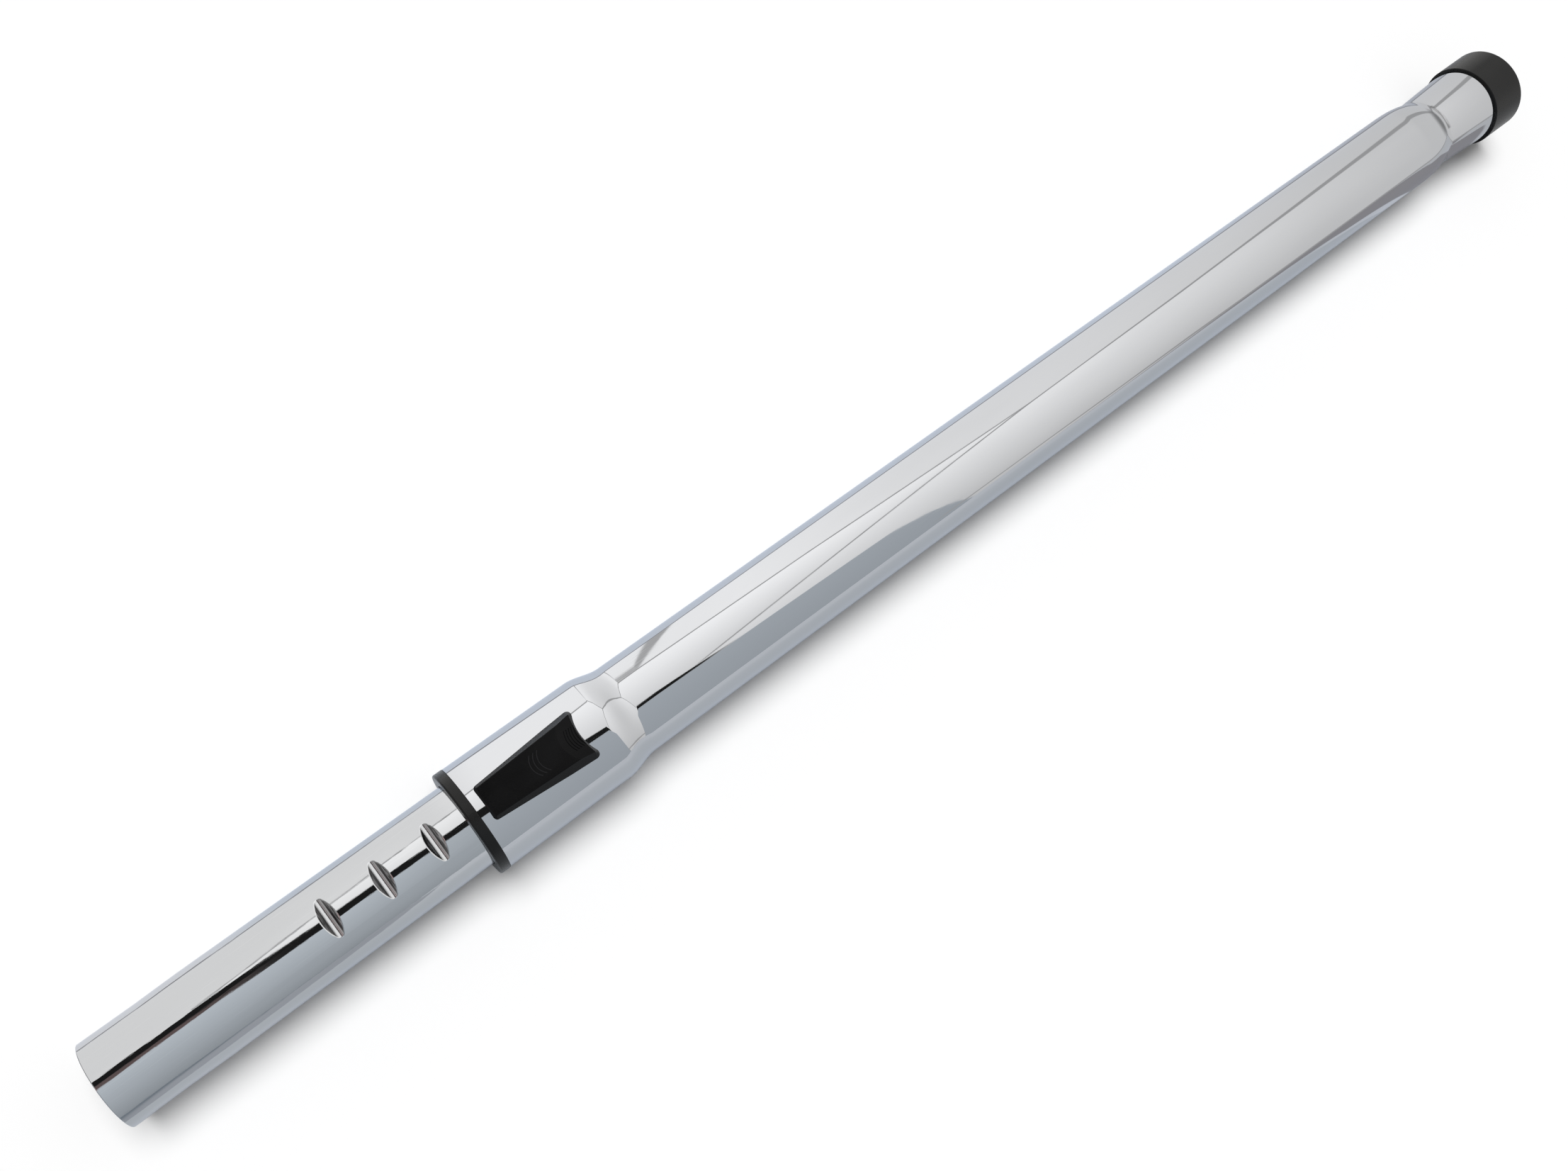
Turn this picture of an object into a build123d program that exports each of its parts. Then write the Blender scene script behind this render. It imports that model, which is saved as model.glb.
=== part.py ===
from build123d import *
from math import sqrt
import os

os.makedirs("parts", exist_ok=True)

# A telescopic vacuum wand lies along X with its button on top.
# The origin is the centre of the upper socket's mouth, and +X points out of that socket.
# All sizes are in millimetres, for the common system with 32 mm tube ends.

# Steel tubes
tube_wall = 0.85
inner_r = 16.0
inner_length = 530.0
main_r = 17.8
head_r = 20.3
outer_length = 566.0
exposed_length = 134.0
lower_end_r = 15.75
lower_end_length = 20.0
lower_end_taper = 14.0
head_length = 51.1
shoulder_length = 13.0
rim_round = 0.3

# Upper end of the outer tube: tapered shoulder, throat, flared neck and collar
neck_mouth_r = 17.4
throat_r = 15.9
neck_length = 28.5
crease_length = 3.5
crease_rise = 0.45
ogive_length = 18.0
ogive_end_slope = -0.27
collar_r = 18.5
collar_length = 19.0
collar_end_wall = 1.6
collar_round = 1.3
collar_back_round = 0.4
socket_r = 16.12

# Notches pressed into the inner tube, with the latch tooth halfway between two of them
notch_pitch = 20.0
notch_count = 20
notches_ahead = 4
notch_depth = 2.4
notch_half_length = 2.9
notch_bottom_round = 2.0
notch_rim_round = 0.6

# End ring at the head's mouth, with the felt wiper behind its flange
ring_flange = 3.9
ring_proud = 0.1
ring_spigot = 5.1
ring_spigot_wall = 1.55
ring_tube_gap = 0.35
ring_round = 0.7
ring_back_round = 0.3
wiper_length = 4.3

# Clearances
seat_gap = 0.03
running_fit = 0.06
pin_fit = 0.03
free_gap = 0.3

# Latch: a rocker on a cross pin, with its tooth over the inner tube's crest
tooth_from_ring = 17.7
tooth_gap = 0.08
tooth_half_width = 4.8
tooth_lift = 0.3
pivot_arm = 8.3
pivot_height = 1.5
pin_r = 0.8
pin_half_length = 4.9
hub_half_width = 3.3
hub_half_length = 2.6
tail_arm = 7.5
tail_half_width = 1.8
rocker_thick = 2.67
rocker_under_gap = 0.17
tail_thick = 1.3
flank_rise = 1.6
rocker_side_gap = 0.2
pocket_end_gap = 0.3

# Leaf spring on the rocker
leaf_thick = 0.25
leaf_half_width = 2.3
leaf_overlap = 1.2
leaf_clamp = 3.6
rivet_r = 0.7
rivet_head_r = 1.2
rivet_head = 0.3
rivet_depth = 1.6

# Button with its retainer inside the head
button_from_ring = 6.2
button_length = 43.2
button_front_half_width = 7.2
button_rear_half_width = 9.9
button_rear_hollow = 2.2
button_front_bulge = 0.5
button_front_corner = 2.0
button_rear_corner = 2.0
button_draft = 26.0
button_base_drop = 1.75
button_lift = 0.35
button_front_height = 1.45
button_rear_height = 3.4
button_wall = 1.15
button_edge_round = 0.35
button_travel = 5.0
scoop_length = 11.0
scoop_radius = 42.0
scoop_end_height = 1.1
groove_count = 5
groove_pitch = 1.0
groove_width = 0.42
groove_depth = 0.3
groove_arc_r = 8.0
groove_half_angle = 30.0
groove_start = 2.4
mark_count = 3
mark_pitch = 1.6
mark_width = 0.28
mark_rise = 0.15
mark_arc_r = 5.7
mark_half_angle = 46.0
mark_from_front = 20.0
retainer_length = 8.0
retainer_half_width = 7.6
retainer_gap = 0.35
boss_half_width = 4.5
boss_length = 4.4
boss_front = 0.8
boss_rise = 1.5
cam_gap = 0.08
peg_r = 0.75
peg_y = 3.3
peg_depth = 2.6
window_half_width = 5.3
window_rear_gap = 0.3

# Return springs beside the rocker
coil_r = 1.0
coil_wire_r = 0.18
coil_turns = 10
coil_y = 6.5
coil_gap = 0.22
coil_length = 12.0

# Guide sleeve inside the head
sleeve_front_gap = 0.3
sleeve_rear_gap = 1.5

# Bush and seal at the inner tube's upper end
bush_length = 28.0
bush_gap = 0.07
bush_end_wall = 1.2
lug_r = 1.5
lug_from_end = 9.0
seal_width = 3.0
seal_thick = 0.5
seal_gap = 0.04
seal_from_end = 3.0

# Stations along the wand
ring_front_x = -outer_length
head_front_x = ring_front_x + ring_flange
shoulder_x = head_front_x + head_length
main_x = shoulder_x + shoulder_length
collar_back_x = -collar_length
neck_end_x = -collar_end_wall
throat_x = collar_back_x - neck_length
crease_x = throat_x - crease_length
ogive_x = crease_x - ogive_length
tip_x = ring_front_x - exposed_length
inner_end_x = tip_x + inner_length
lower_land_x = tip_x + lower_end_length
lower_taper_x = lower_land_x + lower_end_taper
tooth_x = ring_front_x + tooth_from_ring
first_notch_x = tooth_x - (notches_ahead - 0.5) * notch_pitch
notch_xs = [first_notch_x + i * notch_pitch for i in range(notch_count)]
pivot_x = tooth_x + pivot_arm
tail_x = pivot_x + tail_arm
sleeve_front_x = head_front_x + ring_spigot + sleeve_front_gap
sleeve_rear_x = shoulder_x - sleeve_rear_gap
button_front_x = ring_front_x + button_from_ring
button_rear_x = button_front_x + button_length
scoop_x = button_rear_x - scoop_length
retainer_front_x = tail_x + free_gap
retainer_rear_x = retainer_front_x + retainer_length
boss_front_x = retainer_front_x + boss_front
boss_rear_x = boss_front_x + boss_length
boss_x = (boss_front_x + boss_rear_x) / 2
rocker_front_x = tooth_x - notch_half_length
pocket_front_x = rocker_front_x - pocket_end_gap
hub_x = pivot_x - hub_half_length
coil_front_x = retainer_front_x - coil_length
window_front_x = pocket_front_x
window_rear_x = boss_rear_x + window_rear_gap

# Radii and heights
inner_bore_r = inner_r - tube_wall
main_bore_r = main_r - tube_wall
head_bore_r = head_r - tube_wall
flare_slope = (neck_mouth_r - throat_r) / neck_length
ring_r = head_r + ring_proud
sleeve_r = head_bore_r - seat_gap
sleeve_bore_r = inner_r + running_fit
tooth_z = inner_r + tooth_gap
rocker_top_z = tooth_z + rocker_thick
pivot_z = inner_r + pivot_height
tail_fall = tooth_lift * tail_arm / pivot_arm
cam_z = rocker_top_z + cam_gap
rocker_under_z = inner_r + rocker_under_gap
retainer_in_r = inner_r + retainer_gap
retainer_out_r = head_bore_r - retainer_gap
boss_top_z = retainer_out_r + boss_rise
button_under_r = head_r + button_lift
button_base_z = head_r - button_base_drop
button_front_z = head_r + button_front_height
button_rear_z = head_r + button_rear_height
button_top_slope = (button_rear_height - button_front_height) / (button_length + 2 * free_gap)
scoop_top_z = button_rear_z - button_top_slope * (scoop_length + free_gap)
scoop_end_z = head_r + scoop_end_height
coil_z = sqrt(((inner_r + head_bore_r) / 2) ** 2 - coil_y**2)
coil_bore_r = coil_r + coil_wire_r + coil_gap
reach = head_r + button_rear_height + free_gap


def tube_line(inset):
    """The outer tube's long section from the head's mouth to the socket, inset from its outside."""
    Line((head_front_x, head_r - inset), (shoulder_x, head_r - inset))
    Spline(
        (shoulder_x, head_r - inset),
        (main_x, main_r - inset),
        tangents=((1, 0), (1, 0)),
    )
    Line((main_x, main_r - inset), (ogive_x, main_r - inset))
    Spline(
        (ogive_x, main_r - inset),
        (crease_x, throat_r + crease_rise - inset),
        tangents=((1, 0), (1, ogive_end_slope)),
    )
    Spline(
        (crease_x, throat_r + crease_rise - inset),
        (throat_x, throat_r - inset),
        tangents=((1, ogive_end_slope), (1, flare_slope)),
    )
    Line((throat_x, throat_r - inset), (collar_back_x, neck_mouth_r - inset))
    Line((collar_back_x, neck_mouth_r - inset), (neck_end_x, neck_mouth_r - inset))


def lower_end_line(inset):
    """The inner tube's long section at its lower end, which is drawn in to enter a socket."""
    Line((tip_x, lower_end_r - inset), (lower_land_x, lower_end_r - inset))
    Spline(
        (lower_land_x, lower_end_r - inset),
        (lower_taper_x, inner_r - inset),
        tangents=((1, 0), (1, 0)),
    )


def ring_section(x0, x1, r0, r1):
    """A rectangle between two stations and two radii, on the XZ plane."""
    Polyline((x0, r0), (x1, r0), (x1, r1), (x0, r1), close=True)


def notch_profile(x, depth, half_length):
    """The V of one notch, from its bottom up past the tube's crest."""
    rise = free_gap * depth / half_length
    Polyline(
        (x, inner_r - depth),
        (x + half_length + free_gap, inner_r + rise),
        (x - half_length - free_gap, inner_r + rise),
        close=True,
    )


def button_plan(inset):
    """The button's outline from above: narrow and slightly bowed in front, with two horns behind."""
    front = button_front_x + button_front_bulge + inset
    rear = button_rear_x - inset
    Line((rear, button_rear_half_width - inset), (front, button_front_half_width - inset))
    ThreePointArc(
        (front, button_front_half_width - inset),
        (front - button_front_bulge, 0),
        (front, inset - button_front_half_width),
    )
    Line((front, inset - button_front_half_width), (rear, inset - button_rear_half_width))
    ThreePointArc(
        (rear, inset - button_rear_half_width),
        (rear - button_rear_hollow, 0),
        (rear, button_rear_half_width - inset),
    )


def top_profile(rise):
    """The button's side view up to its rising top, raised by a small amount."""
    Polyline(
        (button_front_x - free_gap, 0),
        (button_front_x - free_gap, button_front_z + rise),
        (button_rear_x + free_gap, button_rear_z + rise),
        (button_rear_x + free_gap, 0),
        close=True,
    )


def scoop_plane():
    """The thumb scoop's lowest line, from the button's top down to its hollow rear edge."""
    run = button_rear_x - button_rear_hollow - scoop_x
    fall = scoop_top_z - scoop_end_z
    return Plane(origin=(scoop_x, 0, scoop_top_z), x_dir=(0, 1, 0), z_dir=(run, 0, -fall))


def arc_rows(first_x, pitch, count, arc_r, half_angle):
    """Arcs side by side along X, each bulging towards the button's front."""
    for i in range(count):
        CenterArc((first_x + i * pitch + arc_r, 0), arc_r, 180 - half_angle, 2 * half_angle)


# The outer tube is one drawn steel tube, widened to a head and swaged to a flared neck.
with BuildPart() as outer_tube:
    with BuildSketch(Plane.XZ):
        with BuildLine():
            tube_line(0)
            tube_line(tube_wall)
            Line((head_front_x, head_r), (head_front_x, head_bore_r))
            Line((neck_end_x, neck_mouth_r), (neck_end_x, neck_mouth_r - tube_wall))
        make_face()
    revolve(axis=Axis.X)
    with BuildSketch(Plane.XY):
        with Locations(((window_front_x + window_rear_x) / 2, 0)):
            Rectangle(window_rear_x - window_front_x, 2 * window_half_width)
    extrude(amount=reach, mode=Mode.SUBTRACT)
outer_tube.part.label = "outer_tube"
export_step(outer_tube.part, "parts/outer_tube.step")

# The black collar is pushed over the neck's end and lines its mouth.
with BuildPart() as top_collar:
    with BuildSketch(Plane.XZ):
        with BuildLine():
            ring_section(collar_back_x, 0, socket_r, collar_r)
        make_face()
        with BuildLine():
            ring_section(collar_back_x, neck_end_x, neck_mouth_r - tube_wall, neck_mouth_r)
        make_face(mode=Mode.SUBTRACT)
    revolve(axis=Axis.X)
    outer_circles = top_collar.edges().filter_by(GeomType.CIRCLE).sort_by(SortBy.RADIUS)[-2:]
    fillet(outer_circles.sort_by(Axis.X)[-1], collar_round)
    back_circles = top_collar.edges().filter_by(GeomType.CIRCLE).group_by(Axis.X)[0]
    fillet(back_circles.sort_by(SortBy.RADIUS)[-1], collar_back_round)
top_collar.part.label = "top_collar"
export_step(top_collar.part, "parts/top_collar.step")

# The end ring closes the head's mouth: a flange in front and a thin spigot inside.
with BuildPart() as end_ring:
    with BuildSketch(Plane.XZ):
        with BuildLine():
            ring_section(ring_front_x, head_front_x, inner_r + ring_tube_gap, ring_r)
        make_face()
        with BuildLine():
            ring_section(
                head_front_x,
                head_front_x + ring_spigot,
                head_bore_r - seat_gap - ring_spigot_wall,
                head_bore_r - seat_gap,
            )
        make_face()
    revolve(axis=Axis.X)
    flange_circles = end_ring.edges().filter_by(GeomType.CIRCLE).sort_by(SortBy.RADIUS)[-2:]
    fillet(flange_circles.sort_by(Axis.X)[0], ring_round)
    flange_circles = end_ring.edges().filter_by(GeomType.CIRCLE).group_by(Axis.X)[-2]
    fillet(flange_circles.sort_by(SortBy.RADIUS)[-1], ring_back_round)
end_ring.part.label = "end_ring"
export_step(end_ring.part, "parts/end_ring.step")

# A felt ring behind the flange wipes the inner tube.
with BuildPart() as wiper_ring:
    with BuildSketch(Plane.XZ):
        with BuildLine():
            ring_section(
                head_front_x,
                head_front_x + wiper_length,
                sleeve_bore_r,
                head_bore_r - 2 * seat_gap - ring_spigot_wall,
            )
        make_face()
    revolve(axis=Axis.X)
wiper_ring.part.label = "wiper_ring"
export_step(wiper_ring.part, "parts/wiper_ring.step")

# Each notch leaves a dent on the bore's side, one wall thick.
with BuildPart() as notch_dents:
    with BuildSketch(Plane.XZ):
        for x in notch_xs:
            with BuildLine():
                notch_profile(x, notch_depth + tube_wall, notch_half_length + tube_wall)
            make_face()
    extrude(amount=inner_r, both=True)
    with BuildSketch(Plane.YZ.offset(lower_taper_x)):
        Circle(inner_r - tube_wall / 2)
    extrude(amount=inner_end_x - lower_taper_x, mode=Mode.INTERSECT)

# The inner tube slides in the outer one. Lug holes near its upper end hold the bush.
with BuildPart() as inner_tube:
    with BuildSketch(Plane.YZ.offset(lower_taper_x)):
        Circle(inner_r)
        Circle(inner_bore_r, mode=Mode.SUBTRACT)
    extrude(amount=inner_end_x - lower_taper_x)
    add(notch_dents.part)
    with BuildSketch(Plane.XZ) as notches:
        for x in notch_xs:
            with BuildLine():
                notch_profile(x, notch_depth, notch_half_length)
            make_face()
        fillet(notches.vertices().group_by(Axis.Y)[0], notch_bottom_round)
    extrude(amount=inner_r, both=True, mode=Mode.SUBTRACT)
    notch_rims = inner_tube.edges().filter_by(GeomType.ELLIPSE)
    fillet(
        notch_rims.filter_by(lambda rim: rim.position_at(0.5).Z > inner_r - tube_wall / 2),
        notch_rim_round,
    )
    with BuildSketch(Plane.XZ):
        with Locations((inner_end_x - lug_from_end, 0)):
            Circle(lug_r)
    extrude(amount=inner_r + free_gap, both=True, mode=Mode.SUBTRACT)
    with BuildSketch(-Plane.XZ):
        with BuildLine():
            lower_end_line(0)
            lower_end_line(tube_wall)
            Line((tip_x, lower_end_r), (tip_x, lower_end_r - tube_wall))
            Line((lower_taper_x, inner_r), (lower_taper_x, inner_bore_r))
        make_face()
    revolve(axis=Axis.X)
    tip_circles = inner_tube.edges().filter_by(GeomType.CIRCLE).group_by(Axis.X)[0]
    fillet(tip_circles.sort_by(SortBy.RADIUS)[-1], rim_round)
inner_tube.part.label = "inner_tube"
export_step(inner_tube.part, "parts/inner_tube.step")

# The plastic bush on the tube's end runs in the outer tube's bore.
bush_front_x = inner_end_x + bush_end_wall - bush_length
bush_r = main_bore_r - bush_gap
seal_rear_x = inner_end_x - seal_from_end
with BuildPart() as rear_bush:
    with BuildSketch(Plane.XZ):
        with BuildLine():
            ring_section(bush_front_x, inner_end_x + bush_end_wall, inner_bore_r, bush_r)
        make_face()
        with BuildLine():
            ring_section(bush_front_x, inner_end_x, inner_bore_r, inner_r)
        make_face(mode=Mode.SUBTRACT)
        with BuildLine():
            ring_section(seal_rear_x - seal_width, seal_rear_x, bush_r - seal_thick, bush_r)
        make_face(mode=Mode.SUBTRACT)
    revolve(axis=Axis.X)
    for side in (1, -1):
        with BuildSketch(Plane.XZ.offset(side * inner_bore_r)):
            with Locations((inner_end_x - lug_from_end, 0)):
                Circle(lug_r - seat_gap)
        extrude(amount=side * (tube_wall + bush_gap))
rear_bush.part.label = "rear_bush"
export_step(rear_bush.part, "parts/rear_bush.step")

# The bush's seal keeps air from leaking past the telescope.
with BuildPart() as rear_seal:
    with BuildSketch(Plane.XZ):
        with BuildLine():
            ring_section(
                seal_rear_x - seal_width + seat_gap,
                seal_rear_x - seat_gap,
                bush_r - seal_thick + seat_gap,
                main_bore_r - seal_gap,
            )
        make_face()
    revolve(axis=Axis.X)
rear_seal.part.label = "rear_seal"
export_step(rear_seal.part, "parts/rear_seal.step")

# The guide sleeve carries the latch and the button's retainer in pockets on its crest.
leaf_front_x = pocket_front_x - leaf_clamp
rivet_x = (leaf_front_x + pocket_front_x) / 2
with BuildPart() as guide_sleeve:
    with BuildSketch(Plane.XZ):
        with BuildLine():
            ring_section(sleeve_front_x, sleeve_rear_x, sleeve_bore_r, sleeve_r)
        make_face()
    revolve(axis=Axis.X)
    with BuildSketch(Plane.XY):
        with BuildLine():
            Polyline(
                (pocket_front_x, tooth_half_width + rocker_side_gap),
                (hub_x + free_gap, tooth_half_width + rocker_side_gap),
                (hub_x + free_gap, hub_half_width + rocker_side_gap),
                (retainer_front_x, hub_half_width + rocker_side_gap),
                (retainer_front_x, 0),
                (pocket_front_x, 0),
                close=True,
            )
        make_face()
        mirror(about=Plane.XZ)
        pocket_x = retainer_front_x - button_travel - free_gap
        with Locations(((pocket_x + retainer_rear_x + free_gap) / 2, 0)):
            Rectangle(
                retainer_rear_x + free_gap - pocket_x,
                2 * (retainer_half_width + free_gap),
            )
    extrude(amount=reach, mode=Mode.SUBTRACT)
    with BuildSketch(Plane.YZ.offset(coil_front_x)):
        with Locations((coil_y, coil_z), (-coil_y, coil_z)):
            Circle(coil_bore_r)
    extrude(amount=coil_length, mode=Mode.SUBTRACT)
    with BuildSketch(Plane.XZ):
        with Locations((pivot_x, pivot_z)):
            Circle(pin_r)
    extrude(amount=pin_half_length, both=True, mode=Mode.SUBTRACT)
    with BuildSketch(Plane.XY.offset(rocker_top_z)):
        with Locations((rivet_x, 0)):
            Rectangle(leaf_clamp, 2 * (leaf_half_width + seat_gap))
    extrude(amount=reach, mode=Mode.SUBTRACT)
    with BuildSketch(Plane.XY.offset(rocker_top_z)):
        with Locations((rivet_x, 0)):
            Circle(rivet_r)
    extrude(amount=-rivet_depth, mode=Mode.SUBTRACT)
guide_sleeve.part.label = "guide_sleeve"
export_step(guide_sleeve.part, "parts/guide_sleeve.step")

# The latch rocker: a V tooth over the crest, a hub on the pin and a tail for the cam.
flank_x = flank_rise * notch_half_length / notch_depth
with BuildPart() as latch_rocker:
    with BuildSketch(Plane.XZ):
        with BuildLine():
            Polyline(
                (tooth_x, tooth_z),
                (tooth_x + flank_x, tooth_z + flank_rise),
                (pivot_x - hub_half_length / 2, rocker_under_z + free_gap),
                (pivot_x, rocker_under_z),
                (pivot_x + hub_half_length, rocker_under_z + free_gap),
                (tail_x, rocker_top_z - tail_thick),
                (tail_x, rocker_top_z),
                (rocker_front_x, rocker_top_z),
                (rocker_front_x, tooth_z + notch_depth),
                close=True,
            )
        make_face()
    extrude(amount=tooth_half_width, both=True)
    with BuildSketch(Plane.XY.offset(rocker_under_z)):
        with BuildLine():
            Polyline(
                (hub_x, tooth_half_width),
                (hub_x, hub_half_width),
                (pivot_x + hub_half_length, hub_half_width),
                (pivot_x + hub_half_length, tail_half_width),
                (tail_x, tail_half_width),
                (tail_x, tooth_half_width),
                close=True,
            )
        make_face()
        mirror(about=Plane.XZ)
    extrude(amount=reach, both=True, mode=Mode.SUBTRACT)
    with BuildSketch(Plane.XZ):
        with Locations((pivot_x, pivot_z)):
            Circle(pin_r + pin_fit)
    extrude(amount=tooth_half_width, both=True, mode=Mode.SUBTRACT)
latch_rocker.part.label = "latch_rocker"
export_step(latch_rocker.part, "parts/latch_rocker.step")

# The rocker's steel cross pin sits in the sleeve's cheeks.
with BuildPart() as latch_pin:
    with BuildSketch(Plane.XZ):
        with Locations((pivot_x, pivot_z)):
            Circle(pin_r)
    extrude(amount=pin_half_length, both=True)
latch_pin.part.label = "latch_pin"
export_step(latch_pin.part, "parts/latch_pin.step")

# A leaf spring presses the tooth down.
with BuildPart() as latch_spring:
    with BuildSketch(Plane.XY.offset(rocker_top_z)):
        leaf_length = tooth_x + leaf_overlap - leaf_front_x
        with Locations((leaf_front_x + leaf_length / 2, 0)):
            Rectangle(leaf_length, 2 * leaf_half_width)
        with Locations((rivet_x, 0)):
            Circle(rivet_r, mode=Mode.SUBTRACT)
    extrude(amount=leaf_thick)
latch_spring.part.label = "latch_spring"
export_step(latch_spring.part, "parts/latch_spring.step")

# One rivet fastens the leaf spring to the sleeve.
with BuildPart() as spring_rivet:
    with BuildSketch(Plane.XY.offset(rocker_top_z - rivet_depth)):
        with Locations((rivet_x, 0)):
            Circle(rivet_r)
    extrude(amount=rivet_depth + leaf_thick)
    with BuildSketch(Plane.XY.offset(rocker_top_z + leaf_thick)):
        with Locations((rivet_x, 0)):
            Circle(rivet_head_r)
    extrude(amount=rivet_head)
spring_rivet.part.label = "spring_rivet"
export_step(spring_rivet.part, "parts/spring_rivet.step")

# The retainer slides inside the head and carries the cam that tips the rocker.
cam_x = retainer_front_x
cam_end_x = cam_x + button_travel
with BuildPart() as button_retainer:
    with BuildSketch(Plane.YZ.offset(retainer_front_x)):
        Circle(retainer_out_r)
        Circle(retainer_in_r, mode=Mode.SUBTRACT)
        with Locations((0, reach)):
            Rectangle(2 * retainer_half_width, 2 * reach, mode=Mode.INTERSECT)
    extrude(amount=retainer_length)
    with BuildSketch(Plane.XY.offset(retainer_in_r)):
        with Locations((boss_x, 0)):
            Rectangle(boss_length, 2 * boss_half_width)
    extrude(amount=boss_top_z - retainer_in_r)
    with BuildSketch(Plane.XZ):
        with BuildLine():
            Polyline(
                (cam_x, 0),
                (cam_x, cam_z),
                (cam_end_x, cam_z - tail_fall),
                (cam_end_x, 0),
                close=True,
            )
        make_face()
    extrude(amount=tail_half_width + free_gap, both=True, mode=Mode.SUBTRACT)
    with BuildSketch(Plane.XY.offset(boss_top_z)):
        with Locations((boss_x, peg_y), (boss_x, -peg_y)):
            Circle(peg_r)
    extrude(amount=-peg_depth, mode=Mode.SUBTRACT)
button_retainer.part.label = "button_retainer"
export_step(button_retainer.part, "parts/button_retainer.step")

# The button is a hollow moulding with a drafted rim, a rising top and a thumb scoop.
with BuildPart() as button_hollow:
    with BuildSketch(Plane.XY.offset(button_base_z)):
        with BuildLine():
            button_plan(button_wall)
        make_face()
    extrude(amount=button_rear_z - button_base_z, taper=button_draft)
    with BuildSketch(Plane.XZ):
        with BuildLine():
            top_profile(-button_wall)
        make_face()
    extrude(amount=reach, both=True, mode=Mode.INTERSECT)
    with BuildSketch(scoop_plane()):
        with Locations((0, scoop_radius)):
            Circle(scoop_radius + button_wall)
    extrude(amount=reach, both=True, mode=Mode.SUBTRACT)
    with BuildSketch(Plane.XY.offset(button_base_z)):
        with Locations((boss_x, 0)):
            Rectangle(boss_length, 2 * button_rear_half_width)
    extrude(amount=reach, mode=Mode.SUBTRACT)

with BuildPart() as scoop_grooves:
    with BuildSketch(Plane.XY.offset(button_base_z)):
        with BuildLine():
            arc_rows(
                scoop_x + groove_start, groove_pitch, groove_count, groove_arc_r, groove_half_angle
            )
        trace(line_width=groove_width)
    extrude(amount=reach)
    with BuildSketch(scoop_plane()):
        with Locations((0, scoop_radius)):
            Circle(scoop_radius + groove_depth)
    extrude(amount=reach, both=True, mode=Mode.INTERSECT)

with BuildPart() as top_marks:
    with BuildSketch(Plane.XY.offset(button_under_r + free_gap)):
        with BuildLine():
            arc_rows(
                button_front_x + mark_from_front, mark_pitch, mark_count, mark_arc_r, mark_half_angle
            )
        trace(line_width=mark_width)
    extrude(amount=reach)
    with BuildSketch(Plane.XZ):
        with BuildLine():
            top_profile(mark_rise)
        make_face()
    extrude(amount=reach, both=True, mode=Mode.INTERSECT)

with BuildPart() as slide_button:
    with BuildSketch(Plane.XY.offset(button_base_z)) as plan:
        with BuildLine():
            button_plan(0)
        make_face()
        fillet(plan.vertices().group_by(Axis.X)[0], button_front_corner)
        fillet(plan.vertices().group_by(Axis.X)[-1], button_rear_corner)
    extrude(amount=button_rear_z - button_base_z + free_gap, taper=button_draft)
    with BuildSketch(Plane.XZ):
        with BuildLine():
            top_profile(0)
        make_face()
    extrude(amount=reach, both=True, mode=Mode.INTERSECT)
    with BuildSketch(scoop_plane()):
        with Locations((0, scoop_radius)):
            Circle(scoop_radius)
    extrude(amount=reach, both=True, mode=Mode.SUBTRACT)
    top_face = slide_button.faces().filter_by(GeomType.PLANE).sort_by(Axis.Z)[-1]
    fillet(top_face.edges(), button_edge_round)
    add(button_hollow.part, mode=Mode.SUBTRACT)
    add(scoop_grooves.part, mode=Mode.SUBTRACT)
    add(top_marks.part)
    with BuildSketch(Plane.YZ.offset(button_front_x - free_gap)):
        Circle(button_under_r)
    extrude(amount=button_length + 2 * free_gap, mode=Mode.SUBTRACT)
    with BuildSketch(Plane.XY.offset(boss_top_z)):
        with Locations((boss_x, 0)):
            Rectangle(boss_length + 2 * seat_gap, 2 * (boss_half_width + seat_gap))
    extrude(amount=-button_base_drop, mode=Mode.SUBTRACT)
    with BuildSketch(Plane.XY.offset(boss_top_z)):
        with Locations((boss_x, peg_y), (boss_x, -peg_y)):
            Circle(peg_r)
    extrude(amount=-peg_depth)
slide_button.part.label = "slide_button"
export_step(slide_button.part, "parts/slide_button.step")

# Two coil springs push the retainer and its button back.
for side, name in ((1, "return_spring_left"), (-1, "return_spring_right")):
    with BuildPart() as return_spring:
        with BuildLine():
            coil = Helix(
                pitch=(coil_length - 2 * coil_wire_r) / coil_turns,
                height=coil_length - 2 * coil_wire_r,
                radius=coil_r,
                center=(coil_front_x + coil_wire_r, side * coil_y, coil_z),
                direction=(1, 0, 0),
            )
        with BuildSketch(Plane(origin=coil @ 0, z_dir=coil % 0)):
            Circle(coil_wire_r)
        sweep(path=coil, is_frenet=True)
    return_spring.part.label = name
    export_step(return_spring.part, "parts/" + name + ".step")
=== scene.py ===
import math

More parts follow.
